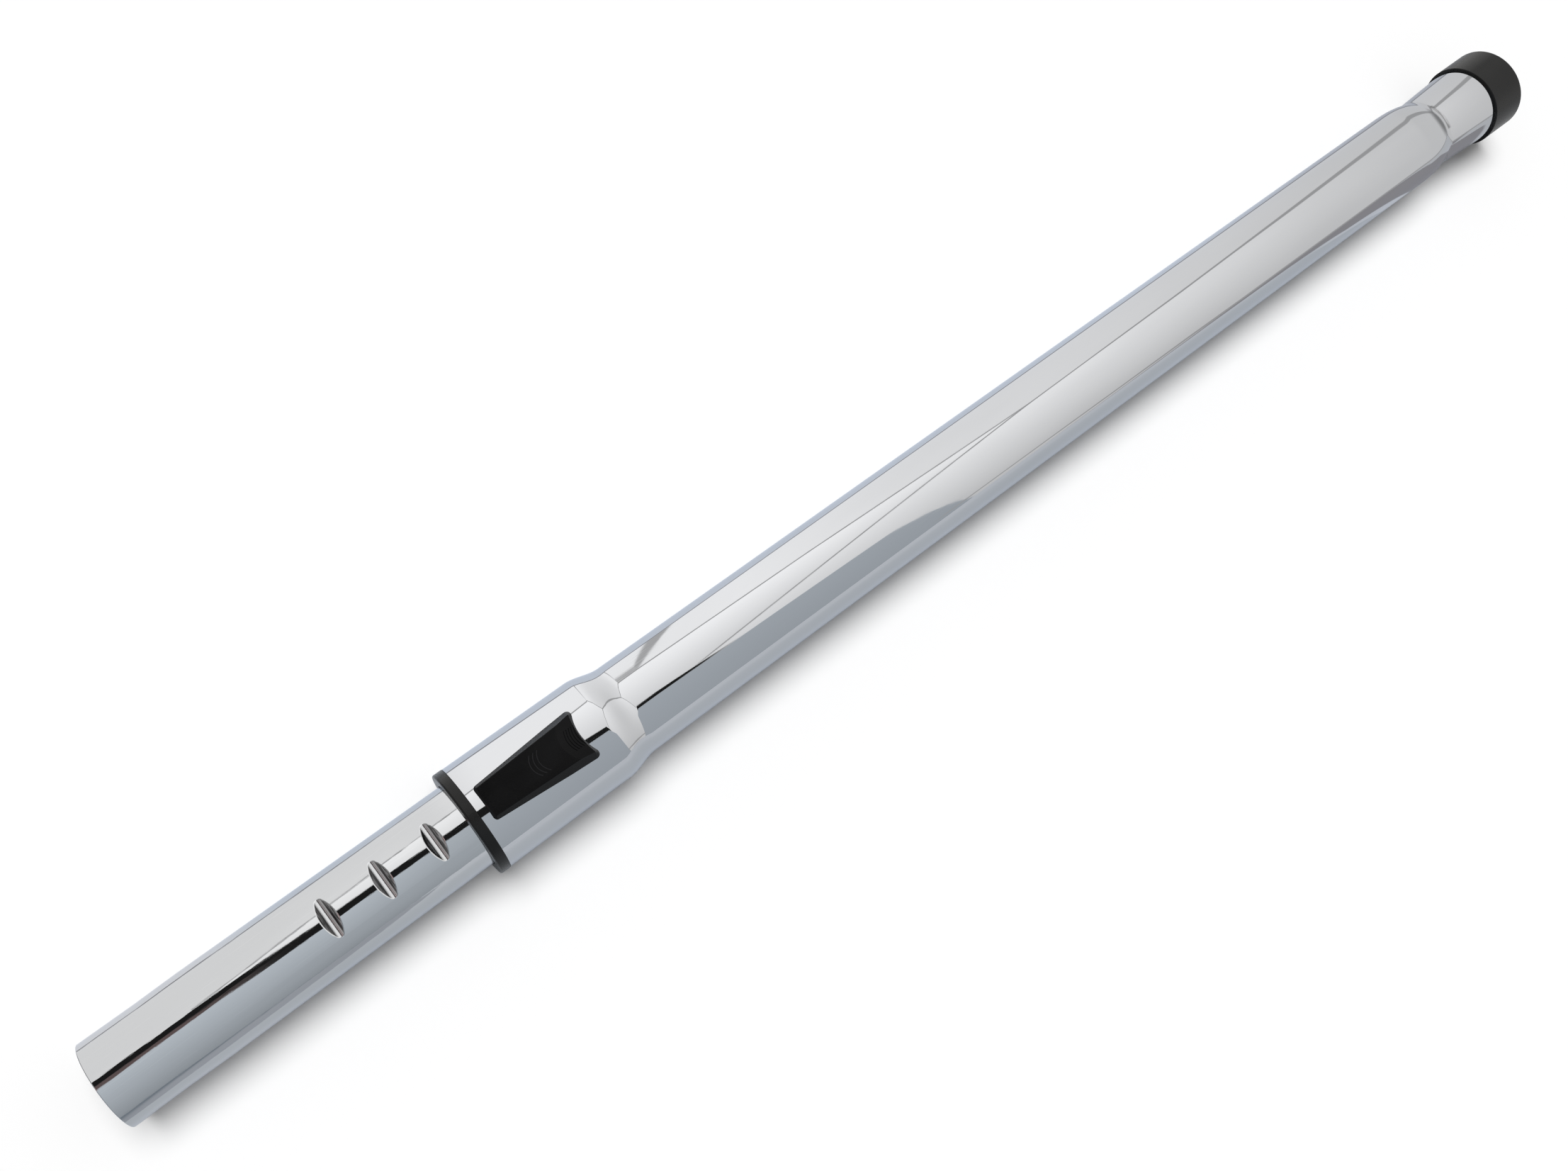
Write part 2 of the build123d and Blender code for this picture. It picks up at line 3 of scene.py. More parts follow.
import bmesh
import bpy
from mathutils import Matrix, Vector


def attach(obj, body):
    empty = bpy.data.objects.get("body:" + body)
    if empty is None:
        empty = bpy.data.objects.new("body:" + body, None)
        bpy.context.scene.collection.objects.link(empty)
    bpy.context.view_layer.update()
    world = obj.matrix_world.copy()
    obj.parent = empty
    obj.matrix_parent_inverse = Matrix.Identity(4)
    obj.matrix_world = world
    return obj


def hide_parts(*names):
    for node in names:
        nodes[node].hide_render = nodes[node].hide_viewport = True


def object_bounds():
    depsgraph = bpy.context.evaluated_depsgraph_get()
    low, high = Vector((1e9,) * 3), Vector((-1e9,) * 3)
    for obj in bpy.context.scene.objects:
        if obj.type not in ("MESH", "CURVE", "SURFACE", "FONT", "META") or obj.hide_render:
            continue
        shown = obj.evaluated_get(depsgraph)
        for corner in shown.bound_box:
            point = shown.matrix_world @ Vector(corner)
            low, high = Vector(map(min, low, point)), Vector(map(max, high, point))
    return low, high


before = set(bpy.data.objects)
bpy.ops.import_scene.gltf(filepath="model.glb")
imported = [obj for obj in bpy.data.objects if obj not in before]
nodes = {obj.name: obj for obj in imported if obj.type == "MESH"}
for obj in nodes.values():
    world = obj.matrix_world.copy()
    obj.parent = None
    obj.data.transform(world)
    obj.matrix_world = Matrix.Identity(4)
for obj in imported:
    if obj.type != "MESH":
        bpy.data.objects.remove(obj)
cad_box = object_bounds()


# Inner tube: cold-drawn steel with a row of pressed notches, nickel and chrome plated,
# then polished lengthwise. It slides in the outer tube and carries fine lengthwise rubbing marks.
def put(tree, kind, sockets=None, **settings):
    made = tree.nodes.new(kind)
    for name, value in settings.items():
        setattr(made, name, value)
    for name, value in (sockets or {}).items():
        if isinstance(value, bpy.types.NodeSocket):
            tree.links.new(value, made.inputs[name])
        else:
            made.inputs[name].default_value = value
    return made


def calc(tree, operation, *values):
    return put(tree, "ShaderNodeMath", dict(enumerate(values)), operation=operation).outputs[0]


def times(tree, first, *others):
    for other in others:
        first = calc(tree, "MULTIPLY", first, other)
    return first


def ramp(tree, value, low, high, at_low, at_high, smooth=True):
    sockets = {"Value": value, "From Min": low, "From Max": high,
               "To Min": at_low, "To Max": at_high}
    kind = "SMOOTHSTEP" if smooth else "LINEAR"
    return put(tree, "ShaderNodeMapRange", sockets, interpolation_type=kind).outputs[0]


def fade(tree, value, start, full):
    """0 up to start, rising softly to 1 at full, whichever of the two is higher."""
    return ramp(tree, value, start, full, 0, 1)


def blend_colour(tree, share, first, second):
    made = put(tree, "ShaderNodeMix", data_type="RGBA")
    for index, value in ((0, share), (6, first), (7, second)):
        if isinstance(value, bpy.types.NodeSocket):
            tree.links.new(value, made.inputs[index])
        else:
            made.inputs[index].default_value = value
    return made.outputs[2]


def parts_of(tree, vector):
    return put(tree, "ShaderNodeSeparateXYZ", {0: vector}).outputs


def new_finish(name):
    made = bpy.data.materials.new(name)
    made.use_nodes = True
    tree = made.node_tree
    place = put(tree, "ShaderNodeTexCoord").outputs["Object"]
    return made, tree, tree.nodes["Principled BSDF"], place


def grain(tree, place, stretch, detail=3.0):
    """Noise whose marks number about stretch per metre along X, Y and Z."""
    scaled = put(tree, "ShaderNodeMapping", {"Vector": place, "Scale": stretch}).outputs[0]
    sockets = {"Vector": scaled, "Scale": 1.0, "Detail": detail, "Roughness": 0.55}
    return put(tree, "ShaderNodeTexNoise", sockets).outputs["Fac"]


def raise_surface(tree, shader, height, depth):
    sockets = {"Height": height, "Distance": depth, "Strength": 1.0}
    tree.links.new(put(tree, "ShaderNodeBump", sockets).outputs[0], shader.inputs["Normal"])


def dress(piece, finish):
    for slot in nodes[piece].material_slots:
        slot.material = finish


noise_low, noise_high = 0.3, 0.7
cloud_noise, rub_noise, torn_noise = (0.35, 0.65), (0.60, 0.76), (0.40, 0.60)
cloud_stretch, drawn_stretch, rub_stretch = (9, 60, 60), (60, 1500, 1500), (45, 2200, 2200)
torn_stretch, crushed_stretch = (3200, 220, 220), (4500, 4500, 4500)
gloss_fine, gloss_coarse, rubbed_dulling, pressed_dulling = 0.02, 0.05, 0.3, 0.09
rubbed_chrome = (0.70, 0.71, 0.72, 1)
torn_dark, torn_light = (0.09, 0.09, 0.09, 1), (0.46, 0.46, 0.47, 1)
edge_tint = (0.86, 0.88, 0.92, 1)
crushed_depth = 8e-6

# The notches' walls lie inside press_r, past the lower end, which is drawn in all round.
# Their flanks are torn above flank_start_z, dark at the foot and streaked toward the rim.
press_r, press_soft = 0.01596, 0.00012
land_end_x, press_start_x = -0.664, -0.660
flank_start_z, flank_full_z, rim_z = 0.01435, 0.0147, 0.0156
torn_share_low = 0.1


def chrome(name, bright, dull, rub_share, draw_depth):
    made, tree, shader, place = new_finish(name)
    shader.inputs["Metallic"].default_value = 1.0
    shader.inputs["Specular Tint"].default_value = edge_tint
    cloud = grain(tree, place, cloud_stretch, 2.0)
    drawn = grain(tree, place, drawn_stretch)
    rubs = ramp(tree, grain(tree, place, rub_stretch, 2.0), *rub_noise, 0.0, rub_share)
    plate = blend_colour(tree, fade(tree, cloud, *cloud_noise), dull, bright)
    rubbed = blend_colour(tree, rubs, plate, rubbed_chrome)

    x, y, z = parts_of(tree, place)
    squares = calc(tree, "ADD", times(tree, y, y), times(tree, z, z))
    radius = calc(tree, "POWER", squares, 0.5)
    pressed = times(tree, ramp(tree, radius, press_r - press_soft, press_r, 1, 0),
                    fade(tree, x, land_end_x, press_start_x))
    flank = times(tree, pressed, fade(tree, z, flank_start_z, flank_full_z))
    striae = times(tree, fade(tree, grain(tree, place, torn_stretch), *torn_noise),
                   ramp(tree, z, flank_full_z, rim_z, torn_share_low, 1))
    torn = blend_colour(tree, striae, torn_dark, torn_light)
    tree.links.new(blend_colour(tree, flank, rubbed, torn), shader.inputs["Base Color"])

    gloss = calc(tree, "ADD", ramp(tree, drawn, noise_low, noise_high, gloss_fine, gloss_coarse),
                 times(tree, rubs, rubbed_dulling))
    gloss = calc(tree, "ADD", gloss, times(tree, pressed, pressed_dulling))
    tree.links.new(gloss, shader.inputs["Roughness"])
    crushed = times(tree, grain(tree, place, crushed_stretch), pressed)
    height = calc(tree, "ADD", times(tree, drawn, draw_depth), times(tree, crushed, crushed_depth))
    raise_surface(tree, shader, height, 1.0)
    return made


dress("inner_tube", chrome("worn_chrome", bright=(0.575, 0.585, 0.60, 1),
                           dull=(0.55, 0.56, 0.575, 1), rub_share=0.2, draw_depth=1.2e-5))


# Rear bush: white acetal ring clipped over the inner tube's far end, which runs in the outer tube.
# Behind it sits the black rubber seal that keeps the suction in.
flow_stretch = (40, 90, 90)
gloss_spread = 0.06


def moulded(name, colour, pale, roughness, grain_size, depth, shine=0.5):
    made, tree, shader, place = new_finish(name)
    fine = grain(tree, place, (1 / grain_size,) * 3, 2.0)
    flow = fade(tree, grain(tree, place, flow_stretch, 2.0), noise_low, noise_high)
    tree.links.new(blend_colour(tree, flow, colour, pale), shader.inputs["Base Color"])
    gloss = ramp(tree, fine, noise_low, noise_high,
                 roughness - gloss_spread, roughness + gloss_spread)
    tree.links.new(gloss, shader.inputs["Roughness"])
    raise_surface(tree, shader, fine, depth)
    shader.inputs["Specular IOR Level"].default_value = shine
    return made


acetal = moulded("white_acetal", colour=(0.78, 0.77, 0.73, 1), pale=(0.84, 0.83, 0.80, 1),
                 roughness=0.42, grain_size=0.0005, depth=4e-6)
dress("rear_bush", acetal)
dress("rear_seal", moulded("seal_rubber", colour=(0.018, 0.018, 0.019, 1),
                           pale=(0.028, 0.028, 0.029, 1),
                           roughness=0.62, grain_size=0.0003, depth=8e-6))


# Outer tube: steel with a swelled head for the latch and a drawn-in neck for the socket,
# chrome plated to a mirror. It is turned here in fine rows, so that its shoulders mirror cleanly.
wall = 0.00085
head_r, main_r, crease_r, throat_r, neck_r = 0.0203, 0.0178, 0.01635, 0.0159, 0.0174
mouth_x, shoulder_x, main_x, ogive_x = -0.5621, -0.511, -0.498, -0.069
crease_x, throat_x, flare_x, neck_end_x = -0.051, -0.0475, -0.019, -0.0016
crease_slope = -0.27
# the window in the head's crest, where the button is pegged to its retainer
window_front_x, window_rear_x = -0.5519, -0.5267
turn_steps, window_steps, swage_rows = 192, 8, 28
main_rows_mm = range(-490, -80, 20)
sharp_edge_degrees = 35


def swage(start, end, start_slope, end_slope):
    """Rows from start to end, each a pair of station and radius, with those slopes at its ends."""
    run = math.dist(start, end)
    rows = []
    for step in range(swage_rows + 1):
        t = step / swage_rows
        leave, arrive = t * (1 - t) ** 2, t * t * (t - 1)
        share = t * t * (3 - 2 * t)
        row = []
        for axis in (0, 1):
            tangents = [(1, slope)[axis] / math.hypot(1, slope)
                        for slope in (start_slope, end_slope)]
            pull = run * (leave * tangents[0] + arrive * tangents[1])
            row.append(start[axis] * (1 - share) + end[axis] * share + pull)
        rows.append(tuple(row))
    return rows


flare_slope = (neck_r - throat_r) / (flare_x - throat_x)
rows = [(mouth_x, head_r), (window_front_x, head_r), (window_rear_x, head_r)]
rows += swage((shoulder_x, head_r), (main_x, main_r), 0, 0)
rows += [(x / 1000, main_r) for x in main_rows_mm]
rows += swage((ogive_x, main_r), (crease_x, crease_r), 0, crease_slope)
rows += swage((crease_x, crease_r), (throat_x, throat_r), crease_slope, flare_slope)[1:]
rows += [(flare_x, neck_r), (neck_end_x, neck_r)]

tube = bmesh.new()
turns = [2 * math.pi * step / turn_steps for step in range(turn_steps)]
outside, inside = [[[tube.verts.new((x, (r - inset) * math.sin(a), (r - inset) * math.cos(a)))
                     for a in turns] for x, r in rows] for inset in (0, wall)]
last_row = len(rows) - 1
for step in range(turn_steps):
    after = (step + 1) % turn_steps
    in_window = step < window_steps or step >= turn_steps - window_steps
    for row in range(last_row):
        if in_window and row == 1:
            continue
        tube.faces.new((outside[row][step], outside[row][after],
                        outside[row + 1][after], outside[row + 1][step]))
        tube.faces.new((inside[row][step], inside[row + 1][step],
                        inside[row + 1][after], inside[row][after]))
    for row in (0, last_row) + ((1, 2) if in_window else ()):
        tube.faces.new((outside[row][step], inside[row][step],
                        inside[row][after], outside[row][after]))
for step in (window_steps, turn_steps - window_steps):
    tube.faces.new((outside[1][step], outside[2][step], inside[2][step], inside[1][step]))
bmesh.ops.recalc_face_normals(tube, faces=tube.faces)
shell_mesh = bpy.data.meshes.new("outer_tube_shell")
tube.to_mesh(shell_mesh)
tube.free()
shell_mesh.shade_smooth()
shell_mesh.set_sharp_from_angle(angle=math.radians(sharp_edge_degrees))
shell = bpy.data.objects.new("outer_tube_shell", shell_mesh)
bpy.context.scene.collection.objects.link(shell)
shell_mesh.materials.append(chrome("mirror_chrome", bright=(0.565, 0.575, 0.595, 1),
                                   dull=(0.55, 0.56, 0.58, 1), rub_share=0.05, draw_depth=6e-7))
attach(shell, "wand_body")
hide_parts("outer_tube")


# Top collar: black polypropylene sleeve pushed over the neck, which takes the bent hose handle.
# It has a satin skin, the same all over, with the fine grain of its mould.
black_pp = moulded("black_polypropylene", colour=(0.004, 0.004, 0.004, 1),
                   pale=(0.007, 0.007, 0.007, 1),
                   roughness=0.3, grain_size=0.0004, depth=5e-6, shine=0.25)
dress("top_collar", black_pp)


# Guide sleeve: white acetal liner in the head that centres the inner tube.
# It is snapped in from the mouth before the wiper and the ring.
dress("guide_sleeve", acetal)


# Wiper and end ring: a grey felt band that wipes dust off the inner tube,
# held by a black ring pressed into the head's mouth.
dress("wiper_ring", moulded("grey_felt", colour=(0.20, 0.20, 0.21, 1),
                            pale=(0.30, 0.30, 0.31, 1),
                            roughness=0.9, grain_size=0.0002, depth=4e-5))
dress("end_ring", black_pp)


# Latch: a hardened steel rocker on a cross pin, pressed down by a riveted leaf spring,
# so that its tooth drops into a notch. The button's two coil springs are of the same steel.
steel_stretch = (300, 1500, 1500)
steel_gloss_spread = 0.15
steel_mark_depth = 3e-6


def bare_steel(name, colour, pale, roughness):
    made, tree, shader, place = new_finish(name)
    shader.inputs["Metallic"].default_value = 1.0
    marks = grain(tree, place, steel_stretch)
    shade = fade(tree, marks, noise_low, noise_high)
    tree.links.new(blend_colour(tree, shade, colour, pale), shader.inputs["Base Color"])
    gloss = ramp(tree, marks, noise_low, noise_high, roughness, roughness + steel_gloss_spread)
    tree.links.new(gloss, shader.inputs["Roughness"])
    raise_surface(tree, shader, marks, steel_mark_depth)
    return made


spring_steel = bare_steel("spring_steel", colour=(0.36, 0.35, 0.33, 1),
                          pale=(0.50, 0.49, 0.47, 1), roughness=0.25)
dress("latch_rocker", bare_steel("zinc_plated_steel", colour=(0.48, 0.49, 0.50, 1),
                                 pale=(0.60, 0.61, 0.62, 1), roughness=0.32))
for piece in ("latch_pin", "latch_spring", "spring_rivet",
              "return_spring_left", "return_spring_right"):
    dress(piece, spring_steel)


# Button and retainer: the black thumb slide on top of the head, with five grip grooves in its
# scoop and three raised arcs, coloured a little paler than the top round them.
# It is held through the window by a white retainer inside.
arc_black = (0.015, 0.015, 0.016, 1)
button_top_z, button_top_slope = 0.046686, 0.04452
arc_foot, arc_top = 0.00004, 0.0001
button_black = moulded("button_black", colour=(0.003, 0.003, 0.0032, 1),
                       pale=(0.005, 0.005, 0.0053, 1),
                       roughness=0.2, grain_size=0.00035, depth=3e-6, shine=0.08)
tree = button_black.node_tree
shader = tree.nodes["Principled BSDF"]
x, y, z = parts_of(tree, put(tree, "ShaderNodeTexCoord").outputs["Object"])
top_line = calc(tree, "ADD", times(tree, x, button_top_slope), button_top_z)
on_arc = fade(tree, calc(tree, "SUBTRACT", z, top_line), arc_foot, arc_top)
plain = shader.inputs["Base Color"].links[0].from_socket
tree.links.new(blend_colour(tree, on_arc, plain, arc_black), shader.inputs["Base Color"])
dress("slide_button", button_black)
dress("button_retainer", acetal)


# Studio floor: a white paper sheet that the wand lies on. The camera sees it plain white.
# What the chrome mirrors of it is a painted reflection, for glossy rays only: paler and darker
# stretches with painted light and shade on them, up to the line where it sweeps up; beyond that
# line the sheet is clear to the chrome, which then mirrors the tent.
def past(tree, value, edge, half_width=0.5):
    return fade(tree, calc(tree, "SUBTRACT", value, edge), -half_width, half_width)


floor_half = 6.0
floor_z = cad_box[0].z
floor_mesh = bpy.data.meshes.new("table_top")
corners = [(-1, -1), (1, -1), (1, 1), (-1, 1)]
floor_mesh.from_pydata([(x * floor_half, y * floor_half, floor_z) for x, y in corners],
                       [], [(0, 1, 2, 3)])
floor = bpy.data.objects.new("table_top", floor_mesh)
bpy.context.scene.collection.objects.link(floor)

table, tree, shader, place = new_finish("white_table")
seen = put(tree, "ShaderNodeLightPath").outputs
along, across = parts_of(tree, place)[:2]

# the line of the sweep, how far it lies from the wand's axis; here and below, a pair of
# places holds where a change starts and where it is full
sweep_low_end, sweep_middle, sweep_socket_end = 0.070, 0.087, 0.056
widening_x, narrowing_x = (-0.56, -0.48), (-0.47, 0.0)
sweep_y = calc(tree, "MINIMUM",
               ramp(tree, along, *widening_x, sweep_low_end, sweep_middle),
               ramp(tree, along, *narrowing_x, sweep_middle, sweep_socket_end, False))
past_sweep = calc(tree, "SUBTRACT", across, sweep_y)

# painted light and shade on the sheet either side of the wand, as the chrome mirrors it:
# shaded on the near side, lit on the far side
shadow_y = -0.06
distance_y, under_wand_y = (-0.25, shadow_y), (shadow_y, 0.06)
low_end_x, socket_end_x = (-0.62, -0.67), (-0.20, 0.0)
shaded_distant, shaded_close = (0.71, 0.735, 0.77, 1), (0.61, 0.64, 0.67, 1)
lit_middle, lit_low_end = (0.80, 0.85, 0.92, 1), (0.99, 0.99, 1, 1)
lit_socket_end = (0.60, 0.61, 0.64, 1)
shaded_sheet = blend_colour(tree, fade(tree, across, *distance_y), shaded_distant, shaded_close)
lit_sheet = blend_colour(tree, fade(tree, along, *low_end_x), lit_middle, lit_low_end)
lit_sheet = blend_colour(tree, fade(tree, along, *socket_end_x), lit_sheet, lit_socket_end)
sheet = blend_colour(tree, fade(tree, across, *under_wand_y), shaded_sheet, lit_sheet)

# a darker stretch of the painted reflection below the lower end, on the near side, whose edge is a
# curve
dark_stretch_start_x, dark_stretch_power = -0.56, 1.25
dark_stretch_slack = (0.00155, 0.00171)
dark_stretch_fall_x = (-0.77, -0.70)
dark_stretch_low, dark_stretch_high = (0.25, 0.285, 0.32, 1), (0.45, 0.47, 0.505, 1)
slack_y = calc(tree, "MAXIMUM", calc(tree, "SUBTRACT", shadow_y, across), 0.0)
slack_x = calc(tree, "MAXIMUM", calc(tree, "SUBTRACT", dark_stretch_start_x, along), 0.0)
slack = times(tree, slack_y, calc(tree, "POWER", slack_x, dark_stretch_power))
dark_stretch = blend_colour(tree, fade(tree, along, *dark_stretch_fall_x), dark_stretch_low, dark_stretch_high)
sheet = blend_colour(tree, fade(tree, slack, *dark_stretch_slack), sheet, dark_stretch)

# by the socket, a pale stripe along the sheet's slanting end, painted shade in the gap past it,
# and the wall behind
slant_along, slant_across = 0.88, 0.47
near_side_y, stripe_y = (-0.02, -0.025), (-0.15, -0.10)
stripe_slant, stripe_x = (-0.103, -0.098), (-0.073, -0.069)
gap_slant, gap_x = (-0.088, -0.084), (-0.055, -0.050)
wall_y, wall_foot_far, wall_foot_near, wall_soft = (-0.20, -0.12), -0.066, -0.030, 0.002
stripe_colour, gap_shade_colour = (0.74, 0.76, 0.79, 1), (0.37, 0.36, 0.37, 1)
wall_colour = (0.66, 0.67, 0.68, 1)
slant = calc(tree, "ADD", times(tree, along, slant_along), times(tree, across, slant_across))
near_side = fade(tree, across, *near_side_y)
in_stripe = calc(tree, "MINIMUM", fade(tree, slant, *stripe_slant), fade(tree, along, *stripe_x))
in_stripe = times(tree, in_stripe, fade(tree, across, *stripe_y), near_side)
sheet = blend_colour(tree, in_stripe, sheet, stripe_colour)
in_gap = calc(tree, "MINIMUM", fade(tree, slant, *gap_slant), fade(tree, along, *gap_x))
in_gap = times(tree, in_gap, near_side)
sheet = blend_colour(tree, in_gap, sheet, gap_shade_colour)
wall_foot = ramp(tree, across, *wall_y, wall_foot_far, wall_foot_near)
past_gap = past(tree, calc(tree, "ADD", along, across), wall_foot, wall_soft)
sheet = blend_colour(tree, times(tree, past_gap, in_gap), sheet, wall_colour)

# the sweep's crease, a line of painted shade, then what each kind of ray meets
crease_half, crease_edge, clear_start = 0.004, 0.006, 0.005
seen_colour, bounced_colour = (0.95, 0.95, 0.95, 1), (0.82, 0.82, 0.83, 1)
crease_shade_colour = (0.38, 0.38, 0.39, 1)
crease = ramp(tree, calc(tree, "ABSOLUTE", past_sweep), crease_half, crease_edge, 1, 0)
painted_reflection = blend_colour(tree, crease, sheet, crease_shade_colour)
bounced = blend_colour(tree, seen["Is Glossy Ray"], bounced_colour, painted_reflection)
tree.links.new(blend_colour(tree, seen["Is Camera Ray"], bounced, seen_colour),
               shader.inputs["Base Color"])
shader.inputs["Roughness"].default_value = 1.0
shader.inputs["Specular IOR Level"].default_value = 0.0
beyond = times(tree, fade(tree, past_sweep, clear_start, crease_edge), seen["Is Glossy Ray"])
clear = put(tree, "ShaderNodeBsdfTransparent").outputs[0]
sheet_end = put(tree, "ShaderNodeMixShader", {0: beyond, 1: shader.outputs[0], 2: clear})
tree.links.new(sheet_end.outputs[0], tree.nodes["Material Output"].inputs["Surface"])
floor_mesh.materials.append(table)


# Light tent: white cloth panels all round, sewn edge to edge and lit from outside, with a dark
# slot above the wand. turn is the angle round the wand in degrees, 0 straight up, and reach is
# how far the direction leans to the socket. Levels are the cloth's brightness.
world = bpy.data.worlds.new("light_tent")
world.use_nodes = True
bpy.context.scene.world = world
tree = world.node_tree
sky = tree.nodes["Background"]
way_x, way_y, way_z = parts_of(tree, put(tree, "ShaderNodeTexCoord").outputs["Generated"])
turn = calc(tree, "DEGREES", calc(tree, "ARCTAN2", times(tree, way_y, -1.0), way_z))
reach = way_x
reach_low, reach_high = -0.25, 0.75
turn_low, turn_high, turn_past_side = -90, 90, 110
level_high, seam_widest = 2, 20
line_core, line_rim = 0.7, 1.2


def between(tree, value, first, last):
    """Straight from the first pair, of a place and what is there, to the last."""
    return ramp(tree, value, first[0], last[0], first[1], last[1], False)


def follow(tree, points, low, high):
    """A value that follows reach through the given points, each a pair of reach and value."""
    share = between(tree, reach, (reach_low, 0), (reach_high, 1))
    made = put(tree, "ShaderNodeFloatCurve", {"Value": share})
    curve = made.mapping.curves[0]
    made.mapping.use_clip = False
    spots = [((x - reach_low) / (reach_high - reach_low), (y - low) / (high - low))
             for x, y in points]
    for index, spot in enumerate(spots):
        point = curve.points[index] if index < 2 else curve.points.new(*spot)
        point.location = spot
        point.handle_type = "VECTOR"
    made.mapping.update()
    return between(tree, made.outputs[0], (0, low), (1, high))


def choose(tree, share, first, second):
    return put(tree, "ShaderNodeMix", {"Factor": share, "A": first, "B": second}).outputs[0]


def line(tree, value, centre, half_width):
    away = calc(tree, "ABSOLUTE", calc(tree, "SUBTRACT", value, centre))
    return ramp(tree, calc(tree, "DIVIDE", away, half_width), line_core, line_rim, 1, 0)


# edges of the panels, as turns
seams_meet = [(0.51, -25), (0.61, -31), (0.67, -39), (0.71, -47), (0.75, -60)]
left_seam = follow(tree, [(-0.25, -5), (0, -35), (0.21, -57), (0.35, -46)] + seams_meet,
                   turn_low, turn_high)
right_seam = follow(tree, [(-0.25, 60), (0.2, 25)] + seams_meet, turn_low, turn_high)
low_seam = follow(tree, [(-0.25, 82), (0.43, 82), (0.51, 83.2), (0.56, 85), (0.6, 86),
                         (0.63, 89), (0.75, 95)], turn_low, turn_past_side)
slot_left = follow(tree, [(-0.25, -18), (-0.12, -18), (-0.08, -16), (-0.04, -10), (0.02, -8),
                          (0.08, -3), (0.17, 7), (0.23, 15), (0.28, 23), (0.75, 23)],
                   turn_low, turn_high)
grey_edge = follow(tree, [(-0.25, 3), (-0.12, 0), (-0.08, 5), (0.02, 8), (0.17, 18), (0.23, 21),
                          (0.315, 27), (0.36, 31), (0.4, 35), (0.425, 50), (0.44, 66),
                          (0.455, 95), (0.75, 95)], turn_low, turn_past_side)

# panels: one left of the seams, one between them, one right of them, and the grey one at the side
left_panel = follow(tree, [(-0.25, 1.0), (0.05, 1.02), (0.09, 1.25), (0.3, 1.25), (0.45, 1.08),
                           (0.58, 1.0), (0.75, 0.8)], 0, level_high)
top_panel = between(tree, turn, (-50, 1.36), (14, 1.0))
right_panel_top = follow(tree, [(-0.25, 1.26), (0.45, 1.24), (0.56, 1.16), (0.64, 1.05),
                                (0.75, 0.80)], 0, level_high)
right_panel_foot, grey_change_reach = 0.79, (-0.03, 0.12)
right_panel = choose(tree, between(tree, turn, (-20, 0), (80, 1)),
                     right_panel_top, right_panel_foot)
grey_by_low_end = between(tree, turn, (5, 0.72), (90, 0.42))
grey_by_socket = between(tree, turn, (20, 0.57), (90, 0.50))
grey_panel = choose(tree, fade(tree, reach, *grey_change_reach), grey_by_low_end, grey_by_socket)
level = choose(tree, past(tree, turn, left_seam), left_panel, top_panel)
level = choose(tree, past(tree, turn, right_seam), level, right_panel)
level = choose(tree, past(tree, turn, grey_edge), level, grey_panel)

# a fold that crosses the left panel low down
fold_top_turn, fold_low_turn, fold_level = -57, -110, 0.55
fold = between(tree, turn, (fold_top_turn, 0.212), (fold_low_turn, 0.238))
fold_half = between(tree, turn, (fold_top_turn, 0.003), (fold_low_turn, 0.011))
in_fold = times(tree, line(tree, reach, fold, fold_half), past(tree, fold_top_turn + 1, turn))
level = choose(tree, in_fold, level, fold_level)

# the sewn seams, wider toward the socket
seam_level = 0.48
right_seam_start, low_seam_start, seam_start_soft = 0.25, 0.43, 0.01
seam_half = follow(tree, [(-0.25, 1.3), (0.55, 1.5), (0.64, 2.5), (0.69, 5), (0.75, 8)],
                   0, seam_widest)
low_half = follow(tree, [(-0.25, 1.3), (0.43, 1.3), (0.51, 1.5), (0.56, 2), (0.6, 2.8),
                         (0.63, 3.5), (0.75, 9)], 0, seam_widest)
on_left = line(tree, turn, left_seam, seam_half)
on_right = times(tree, line(tree, turn, right_seam, seam_half),
                 past(tree, reach, right_seam_start, seam_start_soft))
on_low = times(tree, line(tree, turn, low_seam, low_half),
               past(tree, reach, low_seam_start, seam_start_soft))
on_seam = calc(tree, "MAXIMUM", calc(tree, "MAXIMUM", on_left, on_right), on_low)
level = choose(tree, on_seam, level, seam_level)

# the slot, and the brown lining that shows inside it toward the lower end
slot_level, slot_end, slot_soft, slot_end_soft = 0.015, 0.27, 0.4, 0.02
lining_level, lining_turn, lining_end, lining_end_soft = 0.12, -6, -0.10, 0.04
in_slot = times(tree, past(tree, turn, slot_left, slot_soft),
                past(tree, grey_edge, turn, slot_soft), past(tree, slot_end, reach, slot_end_soft))
level = choose(tree, in_slot, level, slot_level)
in_lining = times(tree, in_slot, past(tree, turn, lining_turn),
                  past(tree, lining_end, reach, lining_end_soft))
level = choose(tree, in_lining, level, lining_level)

# the tent's far end, its opening on the near side with two struts, and the room past it
far_end_level, opening_level, strut_level, room_level = 0.3, 0.2, 0.7, 0.5
far_end_reach, opening_reach, room_reach = (0.91, 0.97), (-0.22, -0.26), (-0.60, -0.68)
struts, strut_half = (-0.34, -0.47), 0.025
level = choose(tree, fade(tree, reach, *far_end_reach), level, far_end_level)
level = choose(tree, fade(tree, reach, *opening_reach), level, opening_level)
for strut in struts:
    level = choose(tree, line(tree, reach, strut, strut_half), level, strut_level)
level = choose(tree, fade(tree, reach, *room_reach), level, room_level)

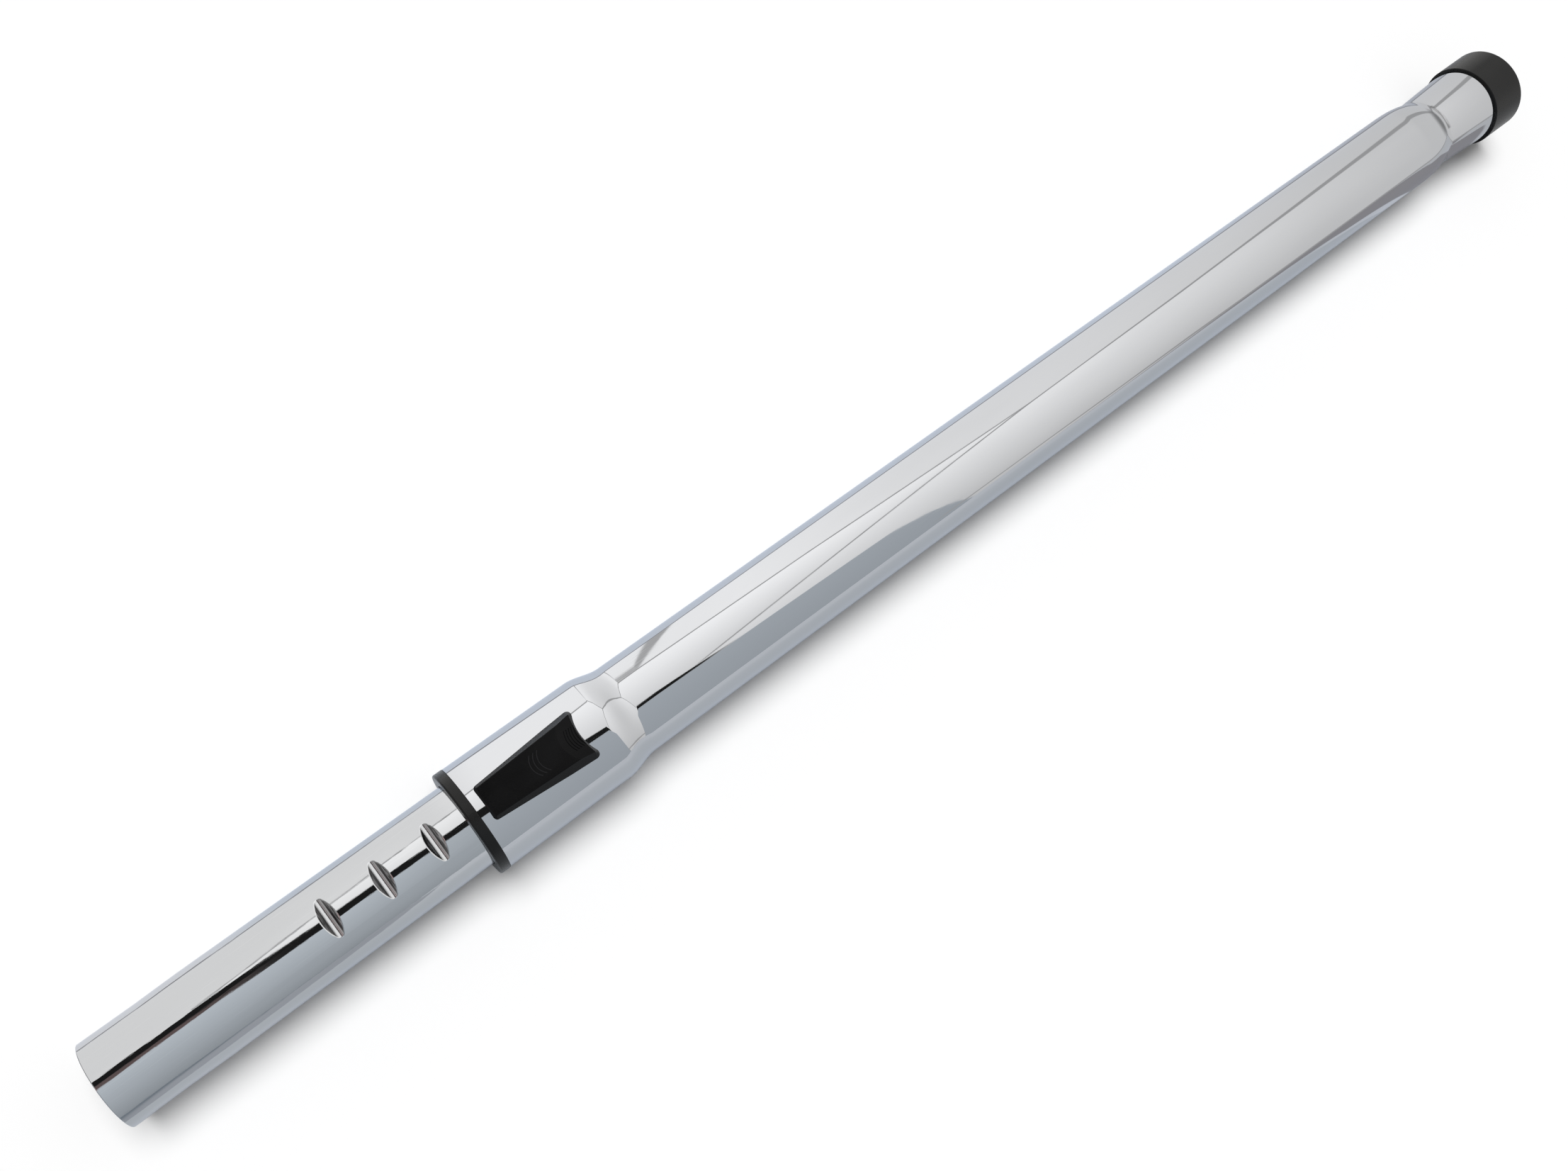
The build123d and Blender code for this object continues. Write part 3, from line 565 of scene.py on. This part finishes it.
# tints, then the two strengths: what the chrome mirrors, and the fill light for all the rest
white = (1, 1, 1, 1)
cloth_tint, shade_tint = (1.01, 1.0, 0.985, 1), (0.93, 1.0, 1.06, 1)
lining_tint = (1.3, 0.95, 0.92, 1)
tent_strength, fill_strength, backdrop_strength = 1.105, 0.3, 1.0
in_shade = times(tree, past(tree, turn, grey_edge), calc(tree, "SUBTRACT", 1.0, on_seam))
cloth = blend_colour(tree, in_shade, cloth_tint, shade_tint)
cloth = blend_colour(tree, in_lining, cloth, lining_tint)
seen = put(tree, "ShaderNodeLightPath").outputs
fill = choose(tree, seen["Is Camera Ray"], fill_strength, backdrop_strength)
glow = times(tree, level, tent_strength)
tree.links.new(blend_colour(tree, seen["Is Glossy Ray"], white, cloth), sky.inputs["Color"])
tree.links.new(choose(tree, seen["Is Glossy Ray"], fill, glow), sky.inputs["Strength"])


# Key light: a wide soft lamp over the far side of the wand, tipped a little,
# so that the shadow lies along the near side. The chrome doesn't mirror it.
key_strength, key_width_degrees, key_tip_degrees = 2.45, 36, -12
key = bpy.data.objects.new("key_light", bpy.data.lights.new("key_light", "SUN"))
bpy.context.scene.collection.objects.link(key)
key.data.energy = key_strength
key.data.angle = math.radians(key_width_degrees)
key.rotation_euler = (math.radians(key_tip_degrees), 0, 0)
key.visible_glossy = False


# Camera: close above the wand's lower end, looking along it, so that the far end runs away.
# Millimetres for the lens and the sensor; the turns are about X, Y and Z in degrees.
camera_place = (-0.5994, -0.0549, 0.5128)
camera_turns = (16.4715, -11.1998, -38.4327)
lens, sensor = 33.6, 36.0
shift_right, shift_up = 0.0017, 0.0012
nearest_seen = 0.01
camera = bpy.data.objects.new("camera", bpy.data.cameras.new("camera"))
bpy.context.scene.collection.objects.link(camera)
camera.data.lens = lens
camera.data.sensor_width = sensor
camera.location = camera_place
camera.rotation_euler = [math.radians(a) for a in camera_turns]
camera.data.shift_x = shift_right
camera.data.shift_y = shift_up
camera.data.clip_start = nearest_seen
bpy.context.scene.camera = camera
bpy.context.scene.view_settings.view_transform = "Standard"
